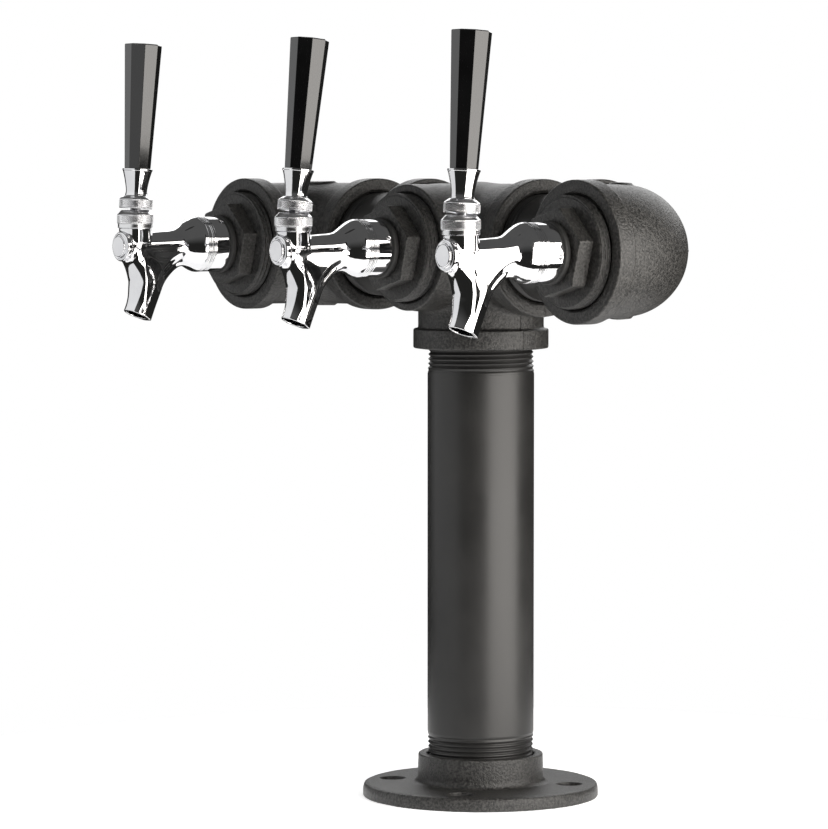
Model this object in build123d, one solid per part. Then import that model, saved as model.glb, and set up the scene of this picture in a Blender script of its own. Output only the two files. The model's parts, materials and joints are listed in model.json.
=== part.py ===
# Three-faucet beer tap tower built from threaded pipe fittings.
# Millimetres. +Z up, origin at the centre of the floor flange's underside,
# on the riser's axis. The faucets face -Y, and the two arms run along X.
import os
from math import cos, radians, sin

from build123d import *

# ---- Tower layout
run_height = 377.3        # flange underside to the axis of the tee's run
arm_spacing = 186.5       # centre faucet to either arm faucet, axis to axis

# ---- Pipe, 2 1/2 inch nominal
pipe_radius = 36.5
pipe_wall = 5.15
pipe_bore_radius = pipe_radius - pipe_wall
thread_pitch = 3.175      # 8 threads per inch
thread_depth = 1.3
thread_engagement = 24.0  # how far a pipe screws into a fitting
riser_thread_shown = 16.0 # thread left showing outside each fitting
nipple_thread_shown = 9.0
thread_clearance = 0.1    # radial gap between a male thread and its hole
mouth_chamfer = 1.3       # countersink at each threaded mouth

# ---- Floor flange
flange_radius = 80.9
flange_thickness = 9.5
flange_edge_round = 3.0
hub_wall = 6.6
hub_radius = pipe_radius + hub_wall
hub_height = 29.5         # underside to the top of the hub
hub_fillet = 4.0
bolt_circle_radius = 62.25
bolt_hole_radius = 8.5
bolt_hole_count = 4
bolt_hole_angle = 40.0    # first hole, counter-clockwise from +X
riser_foot_gap = 5.0      # underside to the lower end of the riser

# ---- Cast fittings: tee with a side outlet, and two elbows
cast_wall = 6.5           # round the thread
cast_radius = pipe_radius + cast_wall
cavity_step = 1.5         # thread bore down to the cavity behind it
cavity_radius = pipe_radius - cavity_step
band_wall = 9.8
band_radius = pipe_radius + band_wall
band_width = 13.5
tee_half_run = 69.7       # tee centre to each of its side faces
tee_drop = 69.3           # tee centre to its bottom face
outlet_wall = 6.2
outlet_radius = pipe_radius + outlet_wall
outlet_reach = 64.0       # tee centre to the face of the front outlet
elbow_reach = 69.3        # elbow corner to either face

# ---- Hexagon bushings
hex_across_flats = 51.6
hex_thickness = 11.2
hex_turn = 14.5           # degrees, how far the hexagon is turned
bushing_engagement = 16.0 # thread inside the fitting
arm_thread_shown = 7.5    # bushing thread left showing at an elbow
centre_thread_shown = 9.3 # the same at the tee's outlet
bushing_web = 13.0        # solid front wall that carries the shank
bushing_core_radius = 27.0

# ---- Shank and its fasteners, along the faucet's axis
shank_radius = 11.1
shank_bore_radius = 4.0
shank_tail = 52.0         # hexagon face back to the rear end of the shank
shoulder_radius = 13.5
shoulder_width = 2.7
washer_radius = 20.6
washer_thickness = 4.6
jam_nut_across_flats = 32.0
jam_nut_thickness = 7.0
tail_nut_across_flats = 27.0
tail_nut_length = 13.0
tail_nut_wall = 3.0       # rear wall that pulls the tail piece in
tail_flange_radius = 10.2
tail_flange_thickness = 2.5
tail_tube_radius = 5.0
tail_tube_bore_radius = 3.2
tail_tube_length = 27.0
barb_height = 0.8
barb_pitch = 5.0
barb_count = 3
fit_clearance = 0.2       # radial gap where a plain hole passes a part

# ---- Coupling nut and gasket
coupling_radius = 19.25
coupling_length = 13.6
coupling_web = 3.5
coupling_thread_radius = 14.25
gasket_thickness = 1.5
gasket_radius = 13.2
gasket_bore_radius = 8.2
spanner_hole_radius = 1.4
spanner_hole_depth = 3.0
spanner_hole_setback = 2.6 # rear face of the nut to the hole's centre

# ---- Faucet body
rim_radius = 19.3
rim_width = 7.8
rim_groove_count = 3
rim_groove_pitch = 1.5
rim_groove_depth = 0.5
bell_length = 14.0
barrel_radius = 10.0
barrel_end = 85.0         # hexagon face forward to the face of the nose
nose_radius = 10.2
nose_width = 5.0
nose_wall = 2.0
button_radius = 7.0
button_height = 1.6
chamber_radius = 7.4
seat_front = 35.0         # hexagon face forward to the front of the seat
seat_width = 3.0
seat_bore_radius = 5.2
spout_radius = 9.3
spout_bore_radius = 7.5
spout_root_forward = 65.0 # spout axis where it leaves the barrel
spout_knee_forward = 63.0
spout_knee_drop = 23.5
spout_tip_forward = 71.8
spout_tip_drop = 48.8
spout_bend_radius = 40.0
rib_thickness = 11.0
rib_start_forward = 30.5
rib_start_drop = 15.0
rib_middle_forward = 45.0
rib_middle_drop = 24.0
rib_end_forward = 58.5
rib_end_drop = 46.0

# ---- Lever socket on top of the body
pivot_forward = 72.2      # hexagon face forward to the lever's axis
pivot_rise = 17.5         # shank axis up to the centre of the lever's ball
ball_radius = 7.5
ball_clearance = 0.1
neck_radius = 11.2
neck_top = 11.9
boss_radius = 10.4
boss_top_above_pivot = 0.5
socket_mouth_radius = 5.5 # hole under the ball

# ---- Bonnet and friction washer
bonnet_band_radius = 12.0
bonnet_band_height = 3.0
bonnet_knurl_radius = 12.7
bonnet_knurl_height = 6.3
bonnet_top = 24.4
bonnet_shoulder_radius = 9.5
bonnet_hole_radius = 7.75
friction_washer_radius = 9.5
friction_washer_height = 3.7

# ---- Lever, collar, ferrule and knob
arm_length = 17.5         # ball centre down to the centre of the finger tip
finger_radius = 2.0
finger_tip_radius = 2.8
stem_radius = 3.7
stud_radius = 4.76
stud_start = 30.5         # heights above the shank axis, lever upright
collar_radius = 11.7
collar_clearance = 0.35   # collar's hollow to the corner of the bonnet
collar_bottom = 24.5
collar_bottom_chamfer = 1.0
collar_knurl_top = 31.6
collar_top = 34.3
collar_top_radius = 8.2
ferrule_base_radius = 7.2
ferrule_lip_radius = 10.45
ferrule_top = 53.0
ferrule_lip_height = 1.2
knob_top = 139.6
knob_base_radius = 9.1    # centre to corner
knob_top_radius = 13.05
knob_edge_round = 0.8
knob_sides = 8
knob_turn = 18.0          # degrees, first corner from +X
knob_socket_depth = 17.0
stud_end_gap = 1.0

# ---- Shaft and seat washer inside the barrel
shaft_clearance = 0.1
guide_half_width = 4.6
guide_back = 7.0          # finger to the rear end of the guide
slot_clearance = 0.3
slot_floor_clearance = 0.5
guide_flat_rise = 3.0     # barrel axis up to the flat round the slot
nose_guide_gap = 5.7      # finger to the rear face of the front disc
nose_guide_width = 2.4
shaft_rod_radius = 2.75
seat_washer_radius = 6.6
seat_washer_thickness = 3.4
seat_washer_gap = 0.1
shaft_head_radius = 4.6
shaft_head_thickness = 2.0

# ---- Each faucet: place along the run, lever lean, spanner hole angle
lever_lean = {"left": 3.5, "centre": 6.4, "right": 4.0}   # degrees, backwards
station_x = {"left": -arm_spacing, "centre": 0.0, "right": arm_spacing}
spanner_angle = {"left": 55.0, "centre": 20.0, "right": -8.0}

UP = (Align.CENTER, Align.CENTER, Align.MIN)


# ---- Shape helpers
def column(radius, low, high):
    """Upright cylinder on the Z axis between two heights."""
    return Pos(0, 0, low) * Cylinder(radius, high - low, align=UP)


def turned(points):
    """Solid of revolution about Z from a closed outline of (radius, height)."""
    outline = Polyline([(r, 0, z) for r, z in points], close=True)
    return revolve(make_face(outline), Axis.Z)


def threaded_edge(crest, low, high, depth=thread_depth, pitch=thread_pitch):
    """Outline points of ring threads that run up from low to high."""
    count = max(1, int((high - low) / pitch))
    points = [(crest, low)]
    for ring in range(count):
        base = low + ring * pitch
        points += [(crest - depth, base + pitch / 2), (crest, base + pitch)]
    return points


def facing_front(shape):
    """Turn a shape built along +Z so that it points forward, along -Y."""
    return Rot(90, 0, 0) * shape


def facing_side(shape):
    """Turn a shape built along +Z so that it points along +X."""
    return Rot(0, 90, 0) * shape


def bar(radius, back, front):
    """Cylinder along the faucet's axis between two forward distances."""
    return facing_front(column(radius, back, front))


def hex_prism(across_flats, low, high, turn=0.0):
    """Upright hexagonal prism between two heights."""
    sketch = RegularPolygon(across_flats / 2, 6, major_radius=False, rotation=turn)
    return extrude(Pos(0, 0, low) * sketch, high - low)


def threaded_mouth(reach):
    """Cutter along +Z for a threaded mouth whose face is at reach."""
    hole = pipe_radius + thread_clearance
    return turned([
        (0, reach - thread_engagement), (hole, reach - thread_engagement),
        (hole, reach - mouth_chamfer), (hole + mouth_chamfer, reach),
        (hole + mouth_chamfer, reach + 1), (0, reach + 1)])


# ---- Base, riser and fittings
def make_floor_flange():
    bore = pipe_radius + thread_clearance
    flange = turned([
        (bore, 0), (flange_radius, 0), (flange_radius, flange_thickness),
        (hub_radius, flange_thickness), (hub_radius, hub_height), (bore, hub_height)])
    root = [e for e in flange.edges().filter_by(GeomType.CIRCLE)
            if abs(e.radius - hub_radius) < 0.01 and e.center().Z < hub_height - 1]
    flange = fillet(root, hub_fillet)
    rim = [e for e in flange.edges().filter_by(GeomType.CIRCLE)
           if abs(e.radius - flange_radius) < 0.01 and e.center().Z > 1]
    flange = fillet(rim, flange_edge_round)
    for number in range(bolt_hole_count):
        angle = radians(bolt_hole_angle + number * 360 / bolt_hole_count)
        place = Pos(bolt_circle_radius * cos(angle), bolt_circle_radius * sin(angle), 0)
        flange -= place * column(bolt_hole_radius, -1, flange_thickness + 1)
    return flange


def make_pipe(length, thread_shown):
    """Pipe along +Z from 0, threaded at both ends."""
    threaded = thread_engagement + thread_shown
    lower = threaded_edge(pipe_radius, 0, threaded)
    upper = [(r, length - z) for r, z in reversed(lower)]
    return turned([(pipe_bore_radius, 0)] + lower + upper + [(pipe_bore_radius, length)])


def make_riser():
    top = run_height - tee_drop + thread_engagement
    threaded = thread_engagement + riser_thread_shown
    foot = threaded_edge(pipe_radius, riser_foot_gap, riser_foot_gap + threaded)
    head = [(r, top - (z - riser_foot_gap)) for r, z in reversed(foot)]
    return turned([(pipe_bore_radius, riser_foot_gap)] + foot + head + [(pipe_bore_radius, top)])


def make_nipple(side):
    start = tee_half_run - thread_engagement
    end = arm_spacing - elbow_reach + thread_engagement
    pipe = facing_side(make_pipe(end - start, nipple_thread_shown))
    low_x = start if side > 0 else -end
    return Pos(low_x, 0, run_height) * pipe


def make_tee():
    body = facing_side(column(cast_radius, -tee_half_run, tee_half_run))
    body += column(cast_radius, -tee_drop, 0)
    body += bar(outlet_radius, 0, outlet_reach)
    body += column(band_radius, -tee_drop, band_width - tee_drop)
    for turn in (90, -90):
        body += Rot(0, turn, 0) * column(band_radius, tee_half_run - band_width, tee_half_run)
    mouth_root = thread_engagement + 1
    body -= facing_side(column(cavity_radius, mouth_root - tee_half_run, tee_half_run - mouth_root))
    body -= column(cavity_radius, mouth_root - tee_drop, 0)
    body -= bar(cavity_radius, 0, outlet_reach - bushing_engagement)
    for turn in (90, -90):
        body -= Rot(0, turn, 0) * threaded_mouth(tee_half_run)
    body -= Rot(180, 0, 0) * threaded_mouth(tee_drop)
    body -= facing_front(threaded_mouth(outlet_reach))
    return Pos(0, 0, run_height) * body


def make_elbow(side):
    """Quarter bend whose mouths face the tee (side -1 is the left arm) and the front."""
    bend = elbow_reach - band_width
    inward = Vector(-side, 0, 0)
    forward = Vector(0, -1, 0)
    corner = Vector(0, 0, 0)
    path = FilletPolyline(inward * elbow_reach, corner, forward * elbow_reach, radius=bend)
    start = Plane(origin=inward * elbow_reach, z_dir=inward * -1)
    body = sweep(start * Circle(cast_radius), path)
    turn_in = Rot(0, -90 * side, 0)
    band = column(band_radius, elbow_reach - band_width, elbow_reach)
    body += turn_in * band + facing_front(band)
    body -= sweep(start * Circle(cavity_radius), path)
    body -= turn_in * threaded_mouth(elbow_reach)
    body -= facing_front(threaded_mouth(elbow_reach))
    return Pos(side * arm_spacing, 0, run_height) * body


# ---- Pieces of one faucet station. Each is built with its origin at the
# centre of the bushing's hexagon face, on the shank axis, pointing forward.
def make_bushing(thread_shown):
    tail = hex_thickness + thread_shown + bushing_engagement
    collar = turned([(0, -tail)] + threaded_edge(pipe_radius, -tail, -hex_thickness)
                    + [(pipe_radius - thread_depth, -hex_thickness), (0, -hex_thickness)])
    body = collar + hex_prism(hex_across_flats, -hex_thickness, 0, hex_turn)
    body -= column(bushing_core_radius, -tail - 1, -bushing_web)
    body -= column(shank_radius + thread_clearance, -bushing_web - 1, 1)
    return facing_front(body)


def make_shank():
    nut_face = washer_thickness + coupling_web
    body = column(shank_radius, -shank_tail, nut_face)
    body += column(shoulder_radius, nut_face, nut_face + shoulder_width)
    body -= column(shank_bore_radius, -shank_tail - 1, nut_face + shoulder_width + 1)
    return facing_front(body)


def make_shank_washer():
    hole = shank_radius + fit_clearance
    return facing_front(column(washer_radius, 0, washer_thickness) - column(hole, -1, washer_thickness + 1))


def make_shank_nut():
    rear = -bushing_web - jam_nut_thickness
    body = hex_prism(jam_nut_across_flats, rear, -bushing_web)
    return facing_front(body - column(shank_radius + thread_clearance, rear - 1, 0))


def make_tail_piece():
    seat = -shank_tail - tail_flange_thickness
    tip = seat - tail_tube_length
    outline = [(tail_tube_bore_radius, tip), (tail_tube_radius, tip)]
    for number in range(barb_count):
        base = tip + number * barb_pitch
        outline += [(tail_tube_radius + barb_height, base + barb_pitch * 0.7),
                    (tail_tube_radius, base + barb_pitch)]
    outline += [(tail_tube_radius, seat), (tail_flange_radius, seat),
                (tail_flange_radius, -shank_tail), (tail_tube_bore_radius, -shank_tail)]
    return facing_front(turned(outline))


def make_tail_nut():
    inner_face = -shank_tail - tail_flange_thickness
    rear = inner_face - tail_nut_wall
    front = rear + tail_nut_length
    body = hex_prism(tail_nut_across_flats, rear, front)
    body -= column(shank_radius + thread_clearance, inner_face, front + 1)
    body -= column(tail_tube_radius + fit_clearance, rear - 1, inner_face + 1)
    return facing_front(body)


def make_coupling_nut(angle):
    rear = washer_thickness
    front = rear + coupling_length
    web_face = rear + coupling_web
    body = column(coupling_radius, rear, front)
    body -= column(coupling_thread_radius + thread_clearance, web_face, front + 1)
    body -= column(shank_radius + fit_clearance, rear - 1, web_face + 1)
    body = facing_front(body)
    drill = Pos(coupling_radius - spanner_hole_depth, 0, 0) * Rot(0, 90, 0) * Cylinder(
        spanner_hole_radius, spanner_hole_depth + 1, align=UP)
    return body - Pos(0, -rear - spanner_hole_setback, 0) * Rot(0, -angle, 0) * drill


def gasket_rear():
    return washer_thickness + coupling_web + shoulder_width


def make_coupling_gasket():
    rear = gasket_rear()
    body = column(gasket_radius, rear, rear + gasket_thickness)
    return facing_front(body - column(gasket_bore_radius, rear - 1, rear + gasket_thickness + 1))


def spout_path(extra=0.0):
    """Centre line of the spout, lengthened past its tip by extra."""
    root = Vector(0, -spout_root_forward, 0)
    knee = Vector(0, -spout_knee_forward, -spout_knee_drop)
    tip = Vector(0, -spout_tip_forward, -spout_tip_drop)
    tip = tip + (tip - knee).normalized() * extra
    return FilletPolyline(root, knee, tip, radius=spout_bend_radius)


def tube_along(path, radius):
    return sweep(Plane(origin=path @ 0, z_dir=path % 0) * Circle(radius), path)


def make_bell():
    """Rear thread, grooved rim and bell, turned about the shank axis."""
    rear = gasket_rear() + gasket_thickness
    rim = washer_thickness + coupling_length
    rim_front = rim + rim_width
    end = rim_front + bell_length
    step = rim_radius - barrel_radius
    flare = (step ** 2 + bell_length ** 2) / (2 * step)
    grooves = threaded_edge(rim_radius, rim + 1.5, rim + 1.5 + rim_groove_count * rim_groove_pitch,
                            rim_groove_depth, rim_groove_pitch)
    flat = [(0, rear), (coupling_thread_radius, rear), (coupling_thread_radius, rim),
            (rim_radius, rim)] + grooves + [(rim_radius, rim_front)]
    straight = Polyline([(r, 0, z) for r, z in flat])
    arc_z = end - bell_length / 2
    arc_r = barrel_radius + flare - (flare ** 2 - (end - arc_z) ** 2) ** 0.5
    arc = ThreePointArc((rim_radius, 0, rim_front), (arc_r, 0, arc_z), (barrel_radius, 0, end))
    closing = Polyline([(barrel_radius, 0, end), (0, 0, end), (0, 0, rear)])
    return facing_front(revolve(make_face([straight, arc, closing]), Axis.Z))


def make_rib():
    """Flat rib that fills the corner between barrel and spout."""
    rear = ThreePointArc((0, -rib_start_forward, -rib_start_drop),
                         (0, -rib_middle_forward, -rib_middle_drop),
                         (0, -rib_end_forward, -rib_end_drop))
    inside = Polyline([(0, -rib_end_forward, -rib_end_drop),
                       (0, -spout_tip_forward + spout_bore_radius, -rib_end_drop),
                       (0, -spout_root_forward, 0),
                       (0, -rib_start_forward, 0),
                       (0, -rib_start_forward, -rib_start_drop)])
    return extrude(make_face([rear, inside]), rib_thickness / 2, both=True)


def make_faucet_body():
    rear = gasket_rear() + gasket_thickness
    rim_front = washer_thickness + coupling_length + rim_width
    seat_rear = seat_front - seat_width
    boss_top = pivot_rise + boss_top_above_pivot
    upright = Pos(0, -pivot_forward, 0)

    body = make_bell()
    body += bar(barrel_radius, rim_front, barrel_end)
    body += bar(nose_radius, barrel_end - nose_width, barrel_end)
    body += bar(button_radius, barrel_end, barrel_end + button_height)
    body += upright * column(neck_radius, 0, neck_top)
    body += upright * column(boss_radius, neck_top, boss_top)
    body += tube_along(spout_path(), spout_radius)
    body += make_rib()

    body -= bar(chamber_radius, rear - 1, seat_rear)
    body -= bar(seat_bore_radius, seat_rear - 1, seat_front + 1)
    body -= bar(chamber_radius, seat_front, barrel_end - nose_wall)
    body -= tube_along(spout_path(2.0), spout_bore_radius)
    socket = ball_radius + ball_clearance
    mouth_drop = (socket ** 2 - socket_mouth_radius ** 2) ** 0.5
    mouth = pivot_rise - mouth_drop
    body -= upright * turned([
        (0, 0), (chamber_radius, 0), (chamber_radius, chamber_radius),
        (socket_mouth_radius, mouth), (0, mouth)])
    body -= upright * Pos(0, 0, pivot_rise) * Sphere(socket)
    body -= upright * column(socket, pivot_rise, boss_top + 1)
    return body


def make_bonnet():
    boss_top = pivot_rise + boss_top_above_pivot
    washer_top = boss_top + friction_washer_height
    thread = boss_radius + thread_clearance
    knurl_low = neck_top + bonnet_band_height
    body = turned([
        (bonnet_band_radius, neck_top), (bonnet_band_radius, knurl_low),
        (bonnet_knurl_radius, knurl_low), (bonnet_knurl_radius, knurl_low + bonnet_knurl_height),
        (bonnet_shoulder_radius, bonnet_top), (bonnet_hole_radius, bonnet_top),
        (bonnet_hole_radius, washer_top), (thread, washer_top), (thread, neck_top)])
    return Pos(0, -pivot_forward, 0) * body


def make_friction_washer():
    low = pivot_rise + boss_top_above_pivot
    body = column(friction_washer_radius, low, low + friction_washer_height)
    body -= Pos(0, 0, pivot_rise) * Sphere(ball_radius + ball_clearance)
    return Pos(0, -pivot_forward, 0) * body


def make_shaft(name):
    """Shaft with its guide, finger slot and rear head, at the shut position."""
    finger = pivot_forward + arm_length * sin(radians(lever_lean[name]))
    guide = chamber_radius - shaft_clearance
    slot = finger_tip_radius + slot_clearance
    washer_front = seat_front - seat_width - seat_washer_gap
    washer_rear = washer_front - seat_washer_thickness
    head_rear = washer_rear - shaft_head_thickness
    disc_rear = finger + nose_guide_gap

    flats = Pos(0, (guide_flat_rise - guide) / 2) * Rectangle(2 * guide_half_width, guide_flat_rise + guide)
    body = extrude(Pos(0, 0, finger - guide_back) * (Circle(guide) & flats), disc_rear - finger + guide_back)
    body += column(guide, disc_rear, disc_rear + nose_guide_width)
    body += column(shaft_rod_radius, head_rear, finger - guide_back)
    body += column(shaft_head_radius, head_rear, washer_rear)
    body = facing_front(body)
    floor = -finger_tip_radius - slot_floor_clearance
    body -= Pos(0, -finger, 0) * column(slot, floor, guide + 1)
    return body


def make_seat_washer():
    front = seat_front - seat_width - seat_washer_gap
    body = column(seat_washer_radius, front - seat_washer_thickness, front)
    body -= column(shaft_rod_radius + thread_clearance, 0, front + 1)
    return facing_front(body)


# Lever pieces are built upright, with the ball's centre at pivot_rise.
def make_lever():
    tip = pivot_rise - arm_length
    end = ferrule_top + knob_socket_depth - stud_end_gap
    body = Pos(0, 0, pivot_rise) * Sphere(ball_radius)
    body += column(stem_radius, pivot_rise, stud_start)
    body += column(stud_radius, stud_start, end)
    body += column(finger_radius, tip, pivot_rise)
    body += Pos(0, 0, tip) * Sphere(finger_tip_radius)
    return body


def collar_hollow_radius():
    corner = neck_top + bonnet_band_height + bonnet_knurl_height - pivot_rise
    return (bonnet_knurl_radius ** 2 + corner ** 2) ** 0.5 + collar_clearance


def make_lever_collar():
    hole = stud_radius + thread_clearance
    body = turned([
        (hole, collar_bottom), (collar_radius - collar_bottom_chamfer, collar_bottom),
        (collar_radius, collar_bottom + collar_bottom_chamfer), (collar_radius, collar_knurl_top),
        (collar_top_radius, collar_top), (hole, collar_top)])
    return body - Pos(0, 0, pivot_rise) * Sphere(collar_hollow_radius())


def make_ferrule():
    hole = stud_radius + thread_clearance
    lip = ferrule_top - ferrule_lip_height
    step = ferrule_lip_radius - ferrule_base_radius
    rise = lip - collar_top
    middle = (ferrule_base_radius + step * 0.36, collar_top + rise * 0.5)
    flare = ThreePointArc((ferrule_base_radius, 0, collar_top), (middle[0], 0, middle[1]),
                          (ferrule_lip_radius, 0, lip))
    rest = Polyline([(ferrule_lip_radius, 0, lip), (ferrule_lip_radius, 0, ferrule_top),
                     (hole, 0, ferrule_top), (hole, 0, collar_top),
                     (ferrule_base_radius, 0, collar_top)])
    return revolve(make_face([flare, rest]), Axis.Z)


def make_knob():
    base = RegularPolygon(knob_base_radius, knob_sides, rotation=knob_turn)
    crown = RegularPolygon(knob_top_radius, knob_sides, rotation=knob_turn)
    body = loft([Pos(0, 0, ferrule_top) * base, Pos(0, 0, knob_top) * crown])
    body = fillet(body.faces().sort_by(Axis.Z)[-1].edges(), knob_edge_round)
    hole = stud_radius + thread_clearance
    return body - column(hole, ferrule_top - 1, ferrule_top + knob_socket_depth)


def leaned(shape, name):
    """Lean an upright lever piece back about the ball's centre and place it."""
    pivot = Pos(0, -pivot_forward, pivot_rise)
    return pivot * Rot(-lever_lean[name], 0, 0) * Pos(0, 0, -pivot_rise) * shape


def make_station(name):
    """Every piece of one faucet, placed in the tower."""
    face = outlet_reach if name == "centre" else elbow_reach
    shown = centre_thread_shown if name == "centre" else arm_thread_shown
    place = Pos(station_x[name], -(face + shown + hex_thickness), run_height)
    pieces = {
        "hex_bushing": make_bushing(shown),
        "shank": make_shank(),
        "shank_washer": make_shank_washer(),
        "shank_nut": make_shank_nut(),
        "tail_piece": make_tail_piece(),
        "tail_nut": make_tail_nut(),
        "coupling_nut": make_coupling_nut(spanner_angle[name]),
        "coupling_gasket": make_coupling_gasket(),
        "faucet_body": make_faucet_body(),
        "bonnet": make_bonnet(),
        "friction_washer": make_friction_washer(),
        "shaft": make_shaft(name),
        "seat_washer": make_seat_washer(),
        "lever": leaned(make_lever(), name),
        "lever_collar": leaned(make_lever_collar(), name),
        "ferrule": leaned(make_ferrule(), name),
        "knob": leaned(make_knob(), name),
    }
    return {f"{name}_{piece}": place * shape for piece, shape in pieces.items()}


# ---- Write one STEP file per piece
nodes = {
    "floor_flange": make_floor_flange(),
    "riser_pipe": make_riser(),
    "side_outlet_tee": make_tee(),
    "left_nipple": make_nipple(-1),
    "right_nipple": make_nipple(1),
    "left_elbow": make_elbow(-1),
    "right_elbow": make_elbow(1),
}
for station in station_x:
    nodes.update(make_station(station))

os.makedirs("parts", exist_ok=True)
for node, shape in nodes.items():
    export_step(shape, f"parts/{node}.step")
    print(node, round(shape.volume), "cubic mm")
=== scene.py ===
import functools
import json
import math
import time

import bpy
import numpy as np
from mathutils import Matrix, Vector


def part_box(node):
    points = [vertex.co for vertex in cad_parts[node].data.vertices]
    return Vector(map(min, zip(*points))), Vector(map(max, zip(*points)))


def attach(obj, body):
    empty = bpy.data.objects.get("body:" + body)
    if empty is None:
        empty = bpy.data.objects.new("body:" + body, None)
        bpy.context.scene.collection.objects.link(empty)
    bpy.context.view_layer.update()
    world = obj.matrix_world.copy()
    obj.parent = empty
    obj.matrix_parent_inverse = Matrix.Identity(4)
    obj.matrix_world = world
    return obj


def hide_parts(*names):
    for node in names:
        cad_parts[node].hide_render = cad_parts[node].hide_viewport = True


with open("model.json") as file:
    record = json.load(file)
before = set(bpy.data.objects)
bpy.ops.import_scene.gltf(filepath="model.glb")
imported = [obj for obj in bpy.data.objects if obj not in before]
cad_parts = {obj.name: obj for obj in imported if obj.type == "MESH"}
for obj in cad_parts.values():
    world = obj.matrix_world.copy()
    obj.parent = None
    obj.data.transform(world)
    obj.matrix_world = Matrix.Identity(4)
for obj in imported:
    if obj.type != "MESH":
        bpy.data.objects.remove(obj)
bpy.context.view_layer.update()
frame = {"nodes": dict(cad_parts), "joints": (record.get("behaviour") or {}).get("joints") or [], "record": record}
mm = 0.001
startTime = time.time()
joints = {j["name"]: j for j in frame["joints"]}


def say(text):
    print(f"[{time.time() - startTime:6.1f}s] {text}")


# ---------- mesh helpers, all in millimetres until makePiece ----------

def areaNormals(points, faces):
    # big faces win, so flats stay flat and only the small rounds shade
    normals = np.zeros_like(points)
    for size in (3, 4):
        ring = np.array([f for f in faces if len(f) == size], int)
        if len(ring) == 0:
            continue
        a, b, c = points[ring[:, 0]], points[ring[:, 1]], points[ring[:, 2]]
        d = points[ring[:, -1]]
        n = np.cross(c - a, d - b) if size == 4 else np.cross(b - a, c - a)
        for corner in range(size):
            np.add.at(normals, ring[:, corner], n)
    return normals / np.maximum(np.linalg.norm(normals, axis=1, keepdims=True), 1e-12)


def weld(points, faces, grid=1e-4):
    # merge points in the same place and drop faces that collapse
    keys = np.round(points / grid).astype(np.int64)
    _, first, back = np.unique(keys, axis=0, return_index=True, return_inverse=True)
    back = back.reshape(-1)
    kept = []
    for face in faces:
        ring = []
        for i in face:
            j = back[i]
            if j not in ring:
                ring.append(int(j))
        if len(ring) >= 3:
            kept.append(ring)
    return points[first], kept


def joinShells(*shells):
    points, faces, normals, count = [], [], [], 0
    for p, f, n in shells:
        points.append(p)
        normals.append(n)
        faces += [[i + count for i in face] for face in f]
        count += len(p)
    return np.vstack(points), faces, np.vstack(normals)


def moved(shell, matrix):
    points, faces, normals = shell
    m = np.array(matrix)
    return points @ m[:3, :3].T + m[:3, 3], faces, normals @ m[:3, :3].T


def mirrorX(shell):
    points, faces, normals = shell
    flip = np.array([-1.0, 1.0, 1.0])
    return points * flip, [list(reversed(f)) for f in faces], normals * flip


def forward(shell):
    # built along +Z, turned to point at the drinker (-Y)
    return moved(shell, Matrix.Rotation(math.radians(90), 4, "X"))


def makePiece(name, shell, place, slotName, node, body="tower", crease=180, look=None):
    points, faces, normals = moved(shell, place)
    mesh = bpy.data.meshes.new(name)
    mesh.from_pydata((points * mm).tolist(), [], faces)
    mesh.update()
    mesh.polygons.foreach_set("use_smooth", [True] * len(mesh.polygons))
    if crease < 180:
        # a face that turns further than the crease keeps its own flat shading at that corner
        flat = np.empty(len(faces) * 3)
        mesh.polygons.foreach_get("normal", flat)
        sizes = np.array([len(f) for f in faces])
        own = np.repeat(flat.reshape(-1, 3), sizes, axis=0)
        shared = normals[np.concatenate([np.array(f) for f in faces])]
        keep = (own * shared).sum(1) > math.cos(math.radians(crease))
        mesh.normals_split_custom_set(np.where(keep[:, None], shared, own).tolist())
    else:
        mesh.normals_split_custom_set_from_vertices(normals.tolist())
    piece = bpy.data.objects.new(name, mesh)
    bpy.context.scene.collection.objects.link(piece)
    mesh.materials.append(look or looks[slotName])
    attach(piece, body)
    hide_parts(node)
    return piece


# ---------- turned work ----------

def roundCorners(outline, radius, steps=4):
    # closed (r, z) outline with each corner cut by a small arc; a corner may carry its own radius
    result = []
    count = len(outline)
    for i in range(count):
        here = np.array(outline[i][:2], float)
        size = outline[i][2] if len(outline[i]) > 2 else radius
        before = np.array(outline[i - 1][:2], float) - here
        after = np.array(outline[(i + 1) % count][:2], float) - here
        la, lb = np.linalg.norm(before), np.linalg.norm(after)
        ua, ub = before / la, after / lb
        angle = math.acos(float(np.clip(ua @ ub, -1, 1)))
        if size <= 0 or angle > math.radians(178):
            result.append(tuple(here))
            continue
        cut = min(size / math.tan(angle / 2), 0.45 * la, 0.45 * lb)
        real = cut * math.tan(angle / 2)
        middle = here + (ua + ub) / np.linalg.norm(ua + ub) * real / math.sin(angle / 2)
        a, b = here + ua * cut - middle, here + ub * cut - middle
        for k in range(steps + 1):
            v = a * (1 - k / steps) + b * (k / steps)
            result.append(tuple(middle + v / np.linalg.norm(v) * real))
    return result


def gridFaces(rows, columns, closed):
    faces = []
    for r in range(rows if closed else rows - 1):
        s = (r + 1) % rows
        for c in range(columns - 1):
            faces.append([r * columns + c, r * columns + c + 1, s * columns + c + 1, s * columns + c])
    return faces


def lathe(outline, radius=0.3, segments=128, steps=4):
    # closed outline of (r, z) points, counter-clockwise with r to the right, turned about Z
    profile = np.array(roundCorners(outline, radius, steps))
    angles = np.linspace(0, 2 * math.pi, segments + 1)
    r, z = profile[:, 0][:, None], profile[:, 1][:, None]
    points = np.stack([r * np.cos(angles), r * np.sin(angles), z + 0 * angles], -1).reshape(-1, 3)
    points, faces = weld(points, gridFaces(len(profile), segments + 1, True))
    return points, faces, areaNormals(points, faces)


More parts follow.
